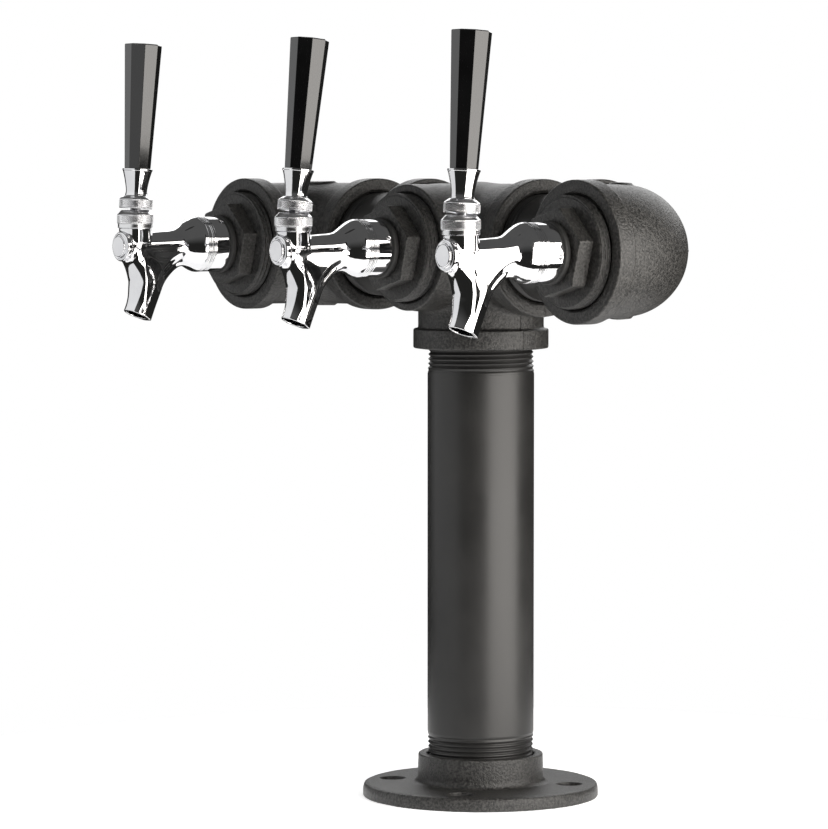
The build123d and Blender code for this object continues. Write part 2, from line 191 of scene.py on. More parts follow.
def threadShape(phase, pitch):
    # 0 at the crest, 1 at the root, with small flats on both
    t = np.abs(((phase / pitch) % 1.0) * 2 - 1)
    return np.clip(1.16 * (1 - t) - 0.08, 0, 1)


def threadedTube(tube):
    # pipe along Z with a real right-hand tapered helix at one or both ends
    pitch, depth = tube["pitch"], tube["depth"]
    low, high, radius = tube["low"], tube["high"], tube["radius"]
    perPitch, segments = 8, tube.get("segments", 144)
    angles = np.linspace(0, 2 * math.pi, segments + 1)
    shift = pitch * angles / (2 * math.pi)
    rowsZ, rowsR = [], []

    def plain(r, z):
        rowsR.append(np.full(segments + 1, float(r)))
        rowsZ.append(np.full(segments + 1, float(z)))

    def thread(start, end, tip):
        # tip is the end of the pipe that this thread belongs to
        for s in np.arange(start - pitch, end + 1e-6, pitch / perPitch):
            z = np.clip(s + shift, start, end)
            root = end if tip == start else start
            fade = np.clip(np.abs(root - z) / (pitch * tube["fade"]), 0, 1) if tube["fade"] else 1.0
            taper = np.abs(root - z) * tube["taper"]
            rowsR.append(radius - tube["drop"] - taper - depth * fade * threadShape(z - shift, pitch))
            rowsZ.append(z)

    plain(tube["bore"], low)
    if tube["lowThread"]:
        thread(low, low + tube["lowThread"], low)
        if not tube["fade"]:
            plain(radius - tube["drop"] - depth, low + tube["lowThread"])
        else:
            plain(radius, low + tube["lowThread"] + 0.5)
    if tube["highThread"]:
        plain(radius, high - tube["highThread"] - 0.5)
        thread(high - tube["highThread"], high, high)
    for r, z in tube.get("after", []):
        plain(r, z)
    plain(tube["bore"], high)
    for r, z in tube.get("inner", []):
        plain(r, z)
    r, z = np.array(rowsR), np.array(rowsZ)
    points = np.stack([r * np.cos(angles), r * np.sin(angles), z], -1).reshape(-1, 3)
    points, faces = weld(points, gridFaces(len(r), segments + 1, True))
    return points, faces, areaNormals(points, faces)


def knurledRing(ring):
    # turned ring whose outside carries pyramids between two heights
    columns = ring["diamonds"] * 2
    width = math.pi * ring["radius"] / ring["diamonds"]
    rows = max(2, int(round((ring["knurlHigh"] - ring["knurlLow"]) / width)))
    # the plain outline starts just above the knurl and ends just under it
    plain = roundCorners(ring["outline"], ring["round"], 3)
    listR, listZ = [], []
    for k in range(rows + 1):
        z = ring["knurlLow"] + (ring["knurlHigh"] - ring["knurlLow"]) * k / rows
        parity = (np.arange(columns + 1) + k) % 2
        edge = 0.5 if k in (0, rows) else 1.0
        listR.append(ring["radius"] - ring["depth"] * np.where(parity == 0, 1 - edge, 1.0))
        listZ.append(np.full(columns + 1, z))
    for r, z in plain:
        listR.append(np.full(columns + 1, r))
        listZ.append(np.full(columns + 1, z))
    angles = np.linspace(0, 2 * math.pi, columns + 1)
    r, z = np.array(listR), np.array(listZ)
    points = np.stack([r * np.cos(angles), r * np.sin(angles), z], -1).reshape(-1, 3)
    faces = []
    total = len(r)
    for j in range(total):
        s = (j + 1) % total
        for c in range(columns):
            a, b = j * (columns + 1) + c, j * (columns + 1) + c + 1
            d, e = s * (columns + 1) + c, s * (columns + 1) + c + 1
            if j < rows:
                if (c + j) % 2 == 0:      # a is a peak, so the groove runs b to d
                    faces += [[a, b, d], [b, e, d]]
                else:
                    faces += [[a, b, e], [a, e, d]]
            else:
                faces.append([a, b, e, d])
    points, faces = weld(points, faces)
    return points, faces, areaNormals(points, faces)


# ---------- cast work: a distance field, then a skin on it ----------

def lowest(*fields):
    return functools.reduce(np.minimum, fields)


def smoothMin(a, b, k):
    h = np.clip(0.5 + 0.5 * (b - a) / k, 0, 1)
    return b + (a - b) * h - k * h * (1 - h)


def smoothMax(a, b, k):
    return -smoothMin(-a, -b, k)


def disc(radial, along, radius, low, high, edge=0.5):
    # capped cylinder with rounded edges
    dx = radial - radius + edge
    dy = np.maximum(low - along, along - high) + edge
    return np.minimum(np.maximum(dx, dy), 0) + np.hypot(np.maximum(dx, 0), np.maximum(dy, 0)) - edge


def smoothStep(t):
    t = np.clip(t, 0, 1)
    return t * t * (3 - 2 * t)


def polygonDistance(u, v, corners):
    # signed distance to a closed polygon, negative inside
    best = np.full(np.broadcast(u, v).shape, 1e18)
    sign = np.ones(best.shape)
    for i in range(len(corners)):
        (ax, ay), (bx, by) = corners[i - 1], corners[i]
        ex, ey = bx - ax, by - ay
        wx, wy = u - ax, v - ay
        t = np.clip((wx * ex + wy * ey) / (ex * ex + ey * ey), 0, 1)
        best = np.minimum(best, (wx - ex * t) ** 2 + (wy - ey * t) ** 2)
        cross = ex * wy - ey * wx
        c1, c2 = v >= ay, v < by
        flip = (c1 & c2 & (cross > 0)) | (~c1 & ~c2 & (cross < 0))
        sign = np.where(flip, -sign, sign)
    return sign * np.sqrt(best)


def pathDistance(u, v, route):
    best = None
    for (ax, ay), (bx, by) in zip(route[:-1], route[1:]):
        ex, ey = bx - ax, by - ay
        t = np.clip(((u - ax) * ex + (v - ay) * ey) / (ex * ex + ey * ey), 0, 1)
        d = (u - ax - ex * t) ** 2 + (v - ay - ey * t) ** 2
        best = d if best is None else np.minimum(best, d)
    return best


def splineRoute(knots, steps=6):
    # Catmull-Rom through the knots
    pts = [np.array(k, float) for k in knots]
    pts = [2 * pts[0] - pts[1]] + pts + [2 * pts[-1] - pts[-2]]
    route = []
    for a, b, c, d in zip(pts[:-3], pts[1:-2], pts[2:-1], pts[3:]):
        for k in range(steps):
            t = k / steps
            route.append(tuple(0.5 * (2 * b + (c - a) * t + (2 * a - 5 * b + 4 * c - d) * t ** 2
                                      + (3 * b - a - 3 * c + d) * t ** 3)))
    route.append(tuple(pts[-2]))
    return route


def curveAt(at, knots):
    # smooth curve of value against place, cubic between the knots and flat past both ends
    place, value = (np.array(v, float) for v in zip(*knots))
    slope = np.gradient(value, place)
    slope[0] = slope[-1] = 0
    at = np.clip(at, place[0], place[-1])
    i = np.clip(np.searchsorted(place, at, side="right") - 1, 0, len(place) - 2)
    gap = place[i + 1] - place[i]
    t = (at - place[i]) / gap
    return (value[i] * (1 + 2 * t) * (1 - t) ** 2 + slope[i] * gap * t * (1 - t) ** 2
            + value[i + 1] * t * t * (3 - 2 * t) - slope[i + 1] * gap * t * t * (1 - t))


def skin(field, low, high, step):
    # surface nets, then each point is pulled on to the surface along the slope
    axes = [np.arange(a, b + step, step) for a, b in zip(low, high)]
    x, y, z = axes[0][:, None, None], axes[1][None, :, None], axes[2][None, None, :]
    value = np.broadcast_to(field(x, y, z), tuple(len(a) for a in axes)).astype(float)
    inside = value < 0
    n = value.shape
    corner = {}
    for i in (0, 1):
        for j in (0, 1):
            for k in (0, 1):
                corner[i, j, k] = (slice(i, n[0] - 1 + i), slice(j, n[1] - 1 + j), slice(k, n[2] - 1 + k))
    total = sum(inside[c].astype(np.int8) for c in corner.values())
    active = (total > 0) & (total < 8)
    cells = np.argwhere(active)
    index = -np.ones(active.shape, np.int64)
    index[active] = np.arange(len(cells))
    summed = np.zeros((len(cells), 3))
    hits = np.zeros(len(cells))
    for a in corner:
        for axis in range(3):
            if a[axis]:
                continue
            b = list(a)
            b[axis] = 1
            va = value[cells[:, 0] + a[0], cells[:, 1] + a[1], cells[:, 2] + a[2]]
            vb = value[cells[:, 0] + b[0], cells[:, 1] + b[1], cells[:, 2] + b[2]]
            cross = (va < 0) != (vb < 0)
            t = np.where(cross, va / np.where(cross, va - vb, 1), 0)
            for k in range(3):
                summed[:, k] += np.where(cross, a[k] + (t if k == axis else 0), 0)
            hits += cross
    points = (cells + summed / hits[:, None]) * step + np.array([a[0] for a in axes])
    faces = []
    for axis in range(3):
        o1, o2 = [k for k in range(3) if k != axis]
        take = [slice(None)] * 3
        take[axis] = slice(0, n[axis] - 1)
        nxt = list(take)
        nxt[axis] = slice(1, n[axis])
        change = inside[tuple(take)] != inside[tuple(nxt)]
        edge = np.argwhere(change)
        keep = (edge[:, o1] > 0) & (edge[:, o2] > 0) & (edge[:, o1] < n[o1] - 1) & (edge[:, o2] < n[o2] - 1)
        edge = edge[keep]
        ring = []
        for s1, s2 in ((1, 1), (0, 1), (0, 0), (1, 0)):
            c = edge.copy()
            c[:, o1] -= s1
            c[:, o2] -= s2
            ring.append(index[c[:, 0], c[:, 1], c[:, 2]])
        quads = np.stack(ring, 1)
        going = inside[edge[:, 0], edge[:, 1], edge[:, 2]]
        if axis == 1:
            going = ~going
        quads = np.where(going[:, None], quads, quads[:, ::-1])
        faces.append(quads)
    h = 0.02
    for turn in range(3):
        px, py, pz = points.T
        gx = field(px + h, py, pz) - field(px - h, py, pz)
        gy = field(px, py + h, pz) - field(px, py - h, pz)
        gz = field(px, py, pz + h) - field(px, py, pz - h)
        slope = np.stack([gx, gy, gz], 1) / (2 * h)
        size = np.maximum((slope ** 2).sum(1), 0.05)
        if turn == 2:
            break
        push = (field(px, py, pz) / size)[:, None] * slope
        length = np.linalg.norm(push, axis=1, keepdims=True)
        points = points - push * np.minimum(1, 0.5 * step / np.maximum(length, 1e-9))
    normals = slope / np.sqrt(size)[:, None]
    return points, np.vstack(faces).tolist(), normals


def castWave(x, y, z, size, seed):
    # slow uneven swell of a sand casting
    a, b, c = seed * 1.7, seed * 2.9, seed * 4.1
    return size * (np.sin(x / 9.1 + a) * np.sin(y / 7.7 + b) * np.sin(z / 8.3 + c)
                   + 0.6 * np.sin(x / 4.3 + c) * np.sin(y / 5.1 + a) * np.sin(z / 4.7 + b))


# ---------- materials ----------

def newMaterial(name):
    material = bpy.data.materials.new(name)
    material.use_nodes = True
    nodes = material.node_tree.nodes
    nodes.clear()
    out = nodes.new("ShaderNodeOutputMaterial")
    shader = nodes.new("ShaderNodeBsdfPrincipled")
    material.node_tree.links.new(shader.outputs[0], out.inputs[0])
    return material, shader, Web(material)


class Web:
    # short way to wire nodes
    def __init__(self, material):
        self.tree = material.node_tree
        self.place = self.tree.nodes.new("ShaderNodeTexCoord").outputs["Object"]

    def node(self, kind):
        return self.tree.nodes.new(kind)

    def link(self, a, b):
        self.tree.links.new(a, b)

    def noise(self, scale, detail=3.0, rough=0.5):
        made = self.node("ShaderNodeTexNoise")
        made.inputs["Scale"].default_value = scale
        made.inputs["Detail"].default_value = detail
        made.inputs["Roughness"].default_value = rough
        self.link(self.place, made.inputs["Vector"])
        return made.outputs["Fac"]

    def cells(self, scale):
        made = self.node("ShaderNodeTexVoronoi")
        made.inputs["Scale"].default_value = scale
        self.link(self.place, made.inputs["Vector"])
        return made.outputs["Distance"]

    def ramp(self, value, stops):
        made = self.node("ShaderNodeValToRGB")
        band = made.color_ramp
        while len(band.elements) < len(stops):
            band.elements.new(0.5)
        for element, (at, colour) in zip(band.elements, stops):
            element.position, element.color = at, (*colour, 1.0)
        self.link(value, made.inputs["Fac"])
        return made.outputs["Color"]

    def spread(self, value, low, high, fromLow=0.3, fromHigh=0.7):
        made = self.node("ShaderNodeMapRange")
        for key, number in (("From Min", fromLow), ("From Max", fromHigh), ("To Min", low), ("To Max", high)):
            made.inputs[key].default_value = number
        self.link(value, made.inputs["Value"])
        return made.outputs["Result"]

    def bump(self, value, strength, distance, under=None):
        made = self.node("ShaderNodeBump")
        made.inputs["Strength"].default_value = strength
        made.inputs["Distance"].default_value = distance
        self.link(value, made.inputs["Height"])
        if under is not None:
            self.link(under, made.inputs["Normal"])
        return made.outputs["Normal"]


castFinish = {"dark": (0.007, 0.0069, 0.0066), "pale": (0.056, 0.0543, 0.0515), "roughLow": 0.3, "roughHigh": 0.42,
              "grain": 620.0, "grainHeight": 0.0007, "grainStrength": 0.9,
              "pits": 1500.0, "pitHeight": 0.00025, "pitStrength": 0.5}


def castBlack():
    material, shader, web = newMaterial("castBlackPaint")
    grain = web.noise(castFinish["grain"], 4.0, 0.62)
    colour = web.ramp(grain, [(0.4, castFinish["dark"]), (0.64, castFinish["pale"])])
    web.link(colour, shader.inputs["Base Color"])
    web.link(web.spread(grain, castFinish["roughLow"], castFinish["roughHigh"]), shader.inputs["Roughness"])
    shader.inputs["Specular IOR Level"].default_value = 0.5
    pits = web.bump(web.cells(castFinish["pits"]), castFinish["pitStrength"], castFinish["pitHeight"])
    rough = web.bump(grain, castFinish["grainStrength"], castFinish["grainHeight"], pits)
    web.link(rough, shader.inputs["Normal"])
    return material


pipeFinish = {"dark": (0.015, 0.0147, 0.0143), "pale": (0.024, 0.0234, 0.0226), "roughLow": 0.34, "roughHigh": 0.42,
              "patch": 22.0, "swellHeight": 0.0004, "fine": 1600.0, "fineHeight": 0.00006, "strength": 0.35}


def pipeBlack():
    material, shader, web = newMaterial("pipeBlackPaint")
    fine = web.noise(pipeFinish["fine"], 3.0, 0.6)
    patch = web.noise(pipeFinish["patch"], 3.0, 0.5)
    web.link(web.ramp(patch, [(0.3, pipeFinish["dark"]), (0.7, pipeFinish["pale"])]), shader.inputs["Base Color"])
    web.link(web.spread(patch, pipeFinish["roughLow"], pipeFinish["roughHigh"]), shader.inputs["Roughness"])
    swell = web.bump(patch, pipeFinish["strength"], pipeFinish["swellHeight"])
    web.link(web.bump(fine, pipeFinish["strength"], pipeFinish["fineHeight"], swell), shader.inputs["Normal"])
    return material


chromeFinish = {"tint": (0.86, 0.86, 0.87), "edge": (0.8, 0.8, 0.82), "roughLow": 0.035, "roughHigh": 0.075,
                "smear": 60.0, "ripple": 140.0, "rippleHeight": 0.00004, "rippleStrength": 0.12}


def chromePlate(name, roughLow, roughHigh):
    material, shader, web = newMaterial(name)
    f = chromeFinish
    smear = web.noise(f["smear"], 4.0, 0.6)
    shader.inputs["Metallic"].default_value = 1.0
    web.link(web.ramp(smear, [(0.35, f["edge"]), (0.6, f["tint"])]), shader.inputs["Base Color"])
    web.link(web.spread(smear, roughLow, roughHigh), shader.inputs["Roughness"])
    ripple = web.noise(f["ripple"], 2.0, 0.5)
    web.link(web.bump(ripple, f["rippleStrength"], f["rippleHeight"]), shader.inputs["Normal"])
    return material


knobFinish = {"dark": (0.0035, 0.0035, 0.0038), "pale": (0.006, 0.006, 0.0064), "roughLow": 0.1, "roughHigh": 0.17,
              "flow": 45.0, "coat": 0.6, "coatRough": 0.06, "ripple": 90.0, "rippleHeight": 0.00006}


def knobBlack():
    material, shader, web = newMaterial("knobGlossPlastic")
    f = knobFinish
    flow = web.noise(f["flow"], 3.0, 0.55)
    web.link(web.ramp(flow, [(0.3, f["dark"]), (0.7, f["pale"])]), shader.inputs["Base Color"])
    web.link(web.spread(flow, f["roughLow"], f["roughHigh"]), shader.inputs["Roughness"])
    shader.inputs["Coat Weight"].default_value = f["coat"]
    shader.inputs["Coat Roughness"].default_value = f["coatRough"]
    web.link(web.bump(web.noise(f["ripple"], 2.0, 0.5), 0.1, f["rippleHeight"]), shader.inputs["Normal"])
    return material


def plainMetal(name, dark, pale, roughLow, roughHigh):
    material, shader, web = newMaterial(name)
    turnMarks = web.noise(700.0, 4.0, 0.6)
    shader.inputs["Metallic"].default_value = 1.0
    web.link(web.ramp(web.noise(50.0), [(0.3, dark), (0.7, pale)]), shader.inputs["Base Color"])
    web.link(web.spread(turnMarks, roughLow, roughHigh), shader.inputs["Roughness"])
    web.link(web.bump(turnMarks, 0.2, 0.00003), shader.inputs["Normal"])
    return material


def rubberBlack():
    material, shader, web = newMaterial("rubberBlack")
    dust = web.noise(350.0, 4.0, 0.6)
    web.link(web.ramp(dust, [(0.3, (0.01, 0.01, 0.01)), (0.7, (0.022, 0.022, 0.021))]), shader.inputs["Base Color"])
    web.link(web.spread(dust, 0.5, 0.7), shader.inputs["Roughness"])
    web.link(web.bump(dust, 0.3, 0.00005), shader.inputs["Normal"])
    return material


looks = {
    "cast_iron_black": castBlack(),
    "pipe_black": pipeBlack(),
    "chrome": chromePlate("chromePlate", chromeFinish["roughLow"], chromeFinish["roughHigh"]),
    "steel": plainMetal("turnedSteel", (0.42, 0.41, 0.4), (0.56, 0.55, 0.53), 0.25, 0.4),
    "brass": plainMetal("turnedBrass", (0.62, 0.43, 0.18), (0.74, 0.54, 0.25), 0.22, 0.36),
    "knob_black": knobBlack(),
    "rubber_black": rubberBlack(),
}
knurlLook = chromePlate("chromeKnurl", 0.17, 0.27)  # duller, as small facets are
say("materials ready")


# ---------- where things stand, read from the frame ----------

def corners(node):
    low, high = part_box(node)
    return np.array(low) / mm, np.array(high) / mm


teeLow, teeHigh = corners("side_outlet_tee")
riserLow, riserHigh = corners("riser_pipe")
runHeight = float(corners("left_nipple")[0][2] + corners("left_nipple")[1][2]) / 2
pipeRadius = float(riserHigh[0])
sides = {"left": -1, "right": 1}
upright = 25.0  # degrees from an upright lever to its forward stop
stations = {}
for name in ("left", "centre", "right"):
    low, high = corners(f"{name}_shank_washer")
    pivot = np.array(joints[f"{name}_lever_pull"]["pos_m"]) / mm
    stations[name] = {"x": float(low[0] + high[0]) / 2, "y": float(high[1]), "z": float(low[2] + high[2]) / 2,
                      "pivotUp": float(pivot[2] - (low[2] + high[2]) / 2), "pivotOut": float(high[1] - pivot[1]),
                      "lean": float(joints[f"{name}_lever_pull"]["range_deg"][1]) - upright}


def stationPlace(name):
    s = stations[name]
    return Matrix.Translation((s["x"], s["y"], s["z"]))


def leverPlace(name):
    # lever parts are built upright about the shank axis height, then leaned back about the ball
    s = stations[name]
    ball = Matrix.Translation((s["x"], s["y"] - s["pivotOut"], s["z"] + s["pivotUp"]))
    return ball @ Matrix.Rotation(math.radians(-s["lean"]), 4, "X") @ Matrix.Translation((0, 0, -s["pivotUp"]))


def atStations(suffix, node, shell, slotName, onLever=False, crease=180, look=None):
    for name in stations:
        place = leverPlace(name) if onLever else stationPlace(name)
        body = f"{name}_lever_body" if onLever else "tower"
        makePiece(name + suffix, shell, place, slotName, f"{name}_{node}", body, crease, look)


pipeThread = {"pitch": 3.175, "depth": 1.35, "taper": 1 / 32, "drop": 0.15, "fade": 1.6, "engaged": 24.0,
              "wall": 5.15}
threadCrease = 28


# ---------- floor flange ----------

flange = {"radius": 80.9, "thickness": 9.5, "edge": 2.6, "hubTop": 29.5, "hubFoot": 43.6, "hubHead": 42.8,
          "fillet": 5.0, "boltCircle": 62.25, "hole": 8.5, "holeTurn": 40.0, "holeRound": 0.7, "mouth": 1.2}


def flangeField(x, y, z):
    f = flange
    radial = np.hypot(x, y)
    plate = disc(radial, z, f["radius"], 0, f["thickness"], 0.4)
    plate = smoothMax(plate, (radial - f["radius"] + z - f["thickness"]) / math.sqrt(2) + f["edge"] * 0.45, 2.6)
    hubRadius = f["hubFoot"] + (f["hubHead"] - f["hubFoot"]) * z / f["hubTop"]
    hub = disc(radial, z, hubRadius, 0, f["hubTop"], 1.1)
    body = smoothMin(plate, hub, f["fillet"])
    body = body + castWave(x, y, z, 0.05, 1.0)
    body = smoothMax(body, -z, 0.3)
    for k in range(4):
        a = math.radians(f["holeTurn"] + 90 * k)
        hole = np.hypot(x - f["boltCircle"] * math.cos(a), y - f["boltCircle"] * math.sin(a)) - f["hole"]
        body = smoothMax(body, -hole, f["holeRound"])
    bore = radial - pipeRadius - 0.12
    body = smoothMax(body, -bore, 0.4)
    chamfer = (radial - pipeRadius - f["mouth"] + (f["hubTop"] - z)) / math.sqrt(2)
    return smoothMax(body, -chamfer, 0.4)


makePiece("floorFlange", skin(flangeField, (-84, -84, -2), (84, 84, 32), 1.05), Matrix.Identity(4),
          "cast_iron_black", "floor_flange")
say("floor flange")


# ---------- riser and nipples ----------

riser = dict(pipeThread, radius=pipeRadius, bore=pipeRadius - pipeThread["wall"], low=float(riserLow[2]),
             high=float(riserHigh[2]), lowThread=39.0, highThread=41.0)
makePiece("riserPipe", threadedTube(riser), Matrix.Identity(4), "pipe_black", "riser_pipe", crease=threadCrease)
for name in sides:
    low, high = corners(f"{name}_nipple")
    nipple = dict(pipeThread, radius=pipeRadius, bore=pipeRadius - pipeThread["wall"], low=float(low[0]),
                  high=float(high[0]), lowThread=33.0, highThread=33.0)
    along = Matrix.Translation((0, 0, runHeight)) @ Matrix.Rotation(math.radians(90), 4, "Y")
    makePiece(f"{name}Nipple", threadedTube(nipple), along, "pipe_black", f"{name}_nipple", crease=threadCrease)
say("riser and nipples")


# ---------- tee ----------

casting = {"body": pipeRadius + 6.5, "band": pipeRadius + 9.8, "bandWidth": 13.5, "outlet": pipeRadius + 6.2,
           "cavity": pipeRadius - 1.5, "blend": 6.0, "bandBlend": 1.6, "edge": 1.3, "seam": 0.28, "seamWidth": 0.75}
tee = {"halfRun": float(teeHigh[0]), "drop": float(runHeight - teeLow[2]), "reach": float(-teeLow[1])}


def threadedMouth(radial, along, reach):
    # bore for the thread, and its countersink, as a field that is negative in the hole
    bore = disc(radial, along, pipeRadius + 0.12, reach - pipeThread["engaged"], reach + 20, 0.1)
    cone = (radial - pipeRadius - 1.4 + (reach - along)) / math.sqrt(2)
    return np.minimum(bore, np.maximum(cone, reach - 4 - along))


def teeField(x, y, z):
    c = casting
    run, upright, front = np.hypot(y, z), np.hypot(x, y), np.hypot(x, z)
    body = disc(run, np.abs(x), c["body"], -200, tee["halfRun"], c["edge"])
    body = smoothMin(body, disc(upright, -z, c["body"], 0, tee["drop"], c["edge"]), c["blend"])
    body = smoothMin(body, disc(front, -y, c["outlet"], 0, tee["reach"], c["edge"]), c["blend"])
    body = smoothMin(body, disc(run, np.abs(x), c["band"], tee["halfRun"] - c["bandWidth"], tee["halfRun"],
                                c["edge"]), c["bandBlend"])
    body = smoothMin(body, disc(upright, -z, c["band"], tee["drop"] - c["bandWidth"], tee["drop"],
                                c["edge"]), c["bandBlend"])
    body = body + castWave(x, y, z, 0.06, 2.0)
    body = body - c["seam"] * np.exp(-(y / c["seamWidth"]) ** 2) * (z < -20)
    hollow = lowest(
        disc(run, np.abs(x), c["cavity"], -200, tee["halfRun"] - 20, 0.2),
        disc(upright, -z, c["cavity"], 0, tee["drop"] - 20, 0.2),
        disc(front, -y, c["cavity"], 0, tee["reach"] - 14, 0.2),
        threadedMouth(run, np.abs(x), tee["halfRun"]),
        threadedMouth(upright, -z, tee["drop"]),
        threadedMouth(front, -y, tee["reach"]))
    return smoothMax(body, -hollow, 0.5)


makePiece("sideOutletTee", skin(teeField, (-73, -68, -75), (73, 50, 50), 1.15),
          Matrix.Translation((0, 0, runHeight)), "cast_iron_black", "side_outlet_tee")
say("tee")


# ---------- elbows ----------

elbowLow = corners("right_elbow")[0]
elbow = {"corner": stations["right"]["x"], "reach": float(-elbowLow[1]), "padAt": 17.0, "padLong": 15.0,
         "padWide": 8.5, "padHigh": 1.3}


def elbowField(x, y, z):
    # right elbow, with the bend's corner at the origin: one mouth towards -X, the other towards -Y
    c, e = casting, elbow
    bend = e["reach"] - c["bandWidth"]
    u, v = x + bend, y + bend
    inBend = (u > 0) & (v > 0)
    ring = np.abs(np.hypot(u, v) - bend)
    side = np.where(u <= 0, np.abs(y), np.abs(x))
    off = np.where(inBend, ring, np.where((u <= 0) & (v <= 0), np.hypot(u, v) + bend, side))
    tube = np.hypot(off, z)
    ends = np.maximum(-x - e["reach"], -y - e["reach"])
    body = smoothMax(tube - c["body"], ends, c["edge"])
    body = smoothMin(body, disc(np.hypot(y, z), -x, c["band"], bend, e["reach"], c["edge"]), c["bandBlend"])
    body = smoothMin(body, disc(np.hypot(x, z), -y, c["band"], bend, e["reach"], c["edge"]), c["bandBlend"])
    body = body + castWave(x, y, z, 0.06, 3.0)
    # plain raised pad on the top and on the bottom of the bend, lying along it
    alongPad = ((x + e["padAt"]) - (y + e["padAt"])) / math.sqrt(2)
    acrossPad = ((x + e["padAt"]) + (y + e["padAt"])) / math.sqrt(2)
    pad = np.hypot(alongPad / e["padLong"], acrossPad / e["padWide"])
    body = body - e["padHigh"] * smoothStep((1.0 - pad) / 0.16)
    seam = np.exp(-(z / c["seamWidth"]) ** 2) * smoothStep((-body + 1.2) / 2.4 + 0.5)
    inside = (x > -bend + 3) & (y > -bend + 3)
    body = body - c["seam"] * seam * inside
    hollow = lowest(np.maximum(tube - c["cavity"], ends + 20), threadedMouth(np.hypot(y, z), -x, e["reach"]),
                    threadedMouth(np.hypot(x, z), -y, e["reach"]))
    return smoothMax(body, -hollow, 0.5)


rightElbow = skin(elbowField, (-73, -73, -50), (50, 50, 50), 1.05)
for name, side in sides.items():
    shell = rightElbow if side > 0 else mirrorX(rightElbow)
    makePiece(f"{name}Elbow", shell, Matrix.Translation((side * elbow["corner"], 0, runHeight)),
              "cast_iron_black", f"{name}_elbow")
say("elbows")


# ---------- hexagon bushings ----------

bushing = {"flats": 51.6, "thick": 11.2, "turn": 14.5, "round": 1.0, "shankBore": 11.25, "web": 13.0, "core": 27.0,
           "faceRadius": 35.0, "cornerRadius": 30.186, "cornerSlope": 1.2, "cornerScale": 0.64, "crease": 50}


def hexField(x, y, z):
    # z runs forward from the back of the hexagon
    b = bushing
    body = np.full(np.broadcast(x, y, z).shape, -1e9)
    for k in range(3):
        a = math.radians(b["turn"] + 90 + 60 * k)
        body = smoothMax(body, np.abs(x * math.cos(a) + y * math.sin(a)) - b["flats"] / 2, b["round"])
    body = smoothMax(body, z - b["thick"], b["round"])
    # corners turned off at a slant
    slant = np.hypot(x, y) - b["cornerRadius"] + (z - b["thick"]) * b["cornerSlope"]
    body = smoothMax(body, slant * b["cornerScale"], 1.5)
    body = body + castWave(x, y, z, 0.05, 5.0)
    body = np.maximum(body, -z)
    return smoothMax(body, -(np.hypot(x, y) - b["shankBore"]), 0.3)


hexShell = moved(skin(hexField, (-33, -33, -2), (33, 33, 14), 0.7), Matrix.Translation((0, 0, -bushing["thick"])))
for name in stations:
    low, high = corners(f"{name}_hex_bushing")
    tail = float(high[1] - low[1])
    b = bushing
    threaded = dict(pipeThread, radius=pipeRadius, bore=b["shankBore"], low=-tail, high=-b["thick"], fade=0,
                    drop=0.0, taper=0.006, lowThread=tail - b["thick"] - 0.6, highThread=0, segments=160,
                    after=[(b["faceRadius"], -b["thick"] - 0.15), (b["faceRadius"] - 0.6, -b["thick"])],
                    inner=[(b["shankBore"], -b["web"]), (b["core"], -b["web"] - 0.3), (b["core"], -tail)])
    makePiece(f"{name}HexBushing", forward(joinShells(hexShell, threadedTube(threaded))), stationPlace(name),
              "cast_iron_black", f"{name}_hex_bushing", crease=b["crease"])
say("bushings")


# ---------- coupling nut and the dark washer behind it ----------

washer = {"radius": 20.6, "bore": 11.3, "thick": 4.6}
nut = {"radius": 19.25, "back": 4.6, "front": 18.2, "web": 8.1, "thread": 14.35, "bore": 11.3, "edge": 0.9,
       "hole": 1.4, "holeBack": 7.2, "holeDeep": 3.0, "relief": 0.35}
nutHoles = {"left": 55.0, "centre": 20.0, "right": -8.0}


def nutField(x, y, z):
    n = nut
    radial = np.hypot(x, y)
    body = disc(radial, z, n["radius"], n["back"], n["front"], n["edge"])
    groove = np.exp(-((z - n["front"] + 1.7) / 0.3) ** 2) * n["relief"]
    body = body + groove * (radial > n["radius"] - 3)
    body = smoothMax(body, -disc(radial, z, n["thread"], n["web"], n["front"] + 5, 0.1), 0.3)
    body = smoothMax(body, -(radial - n["bore"]), 0.3)
    pin = disc(np.hypot(y, z - n["holeBack"]), x, n["hole"], n["radius"] - n["holeDeep"], n["radius"] + 5, 0.1)
    return smoothMax(body, -pin, 0.35)


nutShell = skin(nutField, (-21, -21, 3), (21, 21, 20), 0.5)
washerShell = lathe([(washer["bore"], 0), (washer["radius"], 0, 1.2), (washer["radius"], washer["thick"], 1.6),
                     (washer["bore"], washer["thick"])], 0.2)
atStations("ShankWasher", "shank_washer", forward(washerShell), "rubber_black")
for name in stations:
    spin = Matrix.Rotation(math.radians(nutHoles[name]), 4, "Z")
    makePiece(f"{name}CouplingNut", forward(moved(nutShell, spin)), stationPlace(name), "chrome",
              f"{name}_coupling_nut")
say("coupling nuts")


# ---------- faucet body ----------

faucet = {"rear": 12.3, "thread": 14.25, "rim": 18.2, "sagFrom": 26.0, "sag": 0.016,
          "nose": 85.0, "noseRadius": 10.4, "noseEdge": 1.5, "moat": 8.1, "button": 7.2, "buttonHigh": 1.6,
          "neck": 11.2, "neckTop": 11.9, "boss": 10.4, "bossTop": 18.0, "chamber": 7.4,
          "seatFrom": 32.0, "seatTo": 35.0, "seatBore": 5.2, "chamberEnd": 83.0,
          "spout": 9.15, "spoutBore": 7.5, "tipOut": 71.7, "tipDown": 48.8, "tipTilt": 23.5,
          "rib": 5.0, "ribSwell": 3.7, "ribRamp": 6.0, "bendFill": 15.0, "socket": 7.62, "mouthTaper": 0.392,
          "mouthTop": 12.6}
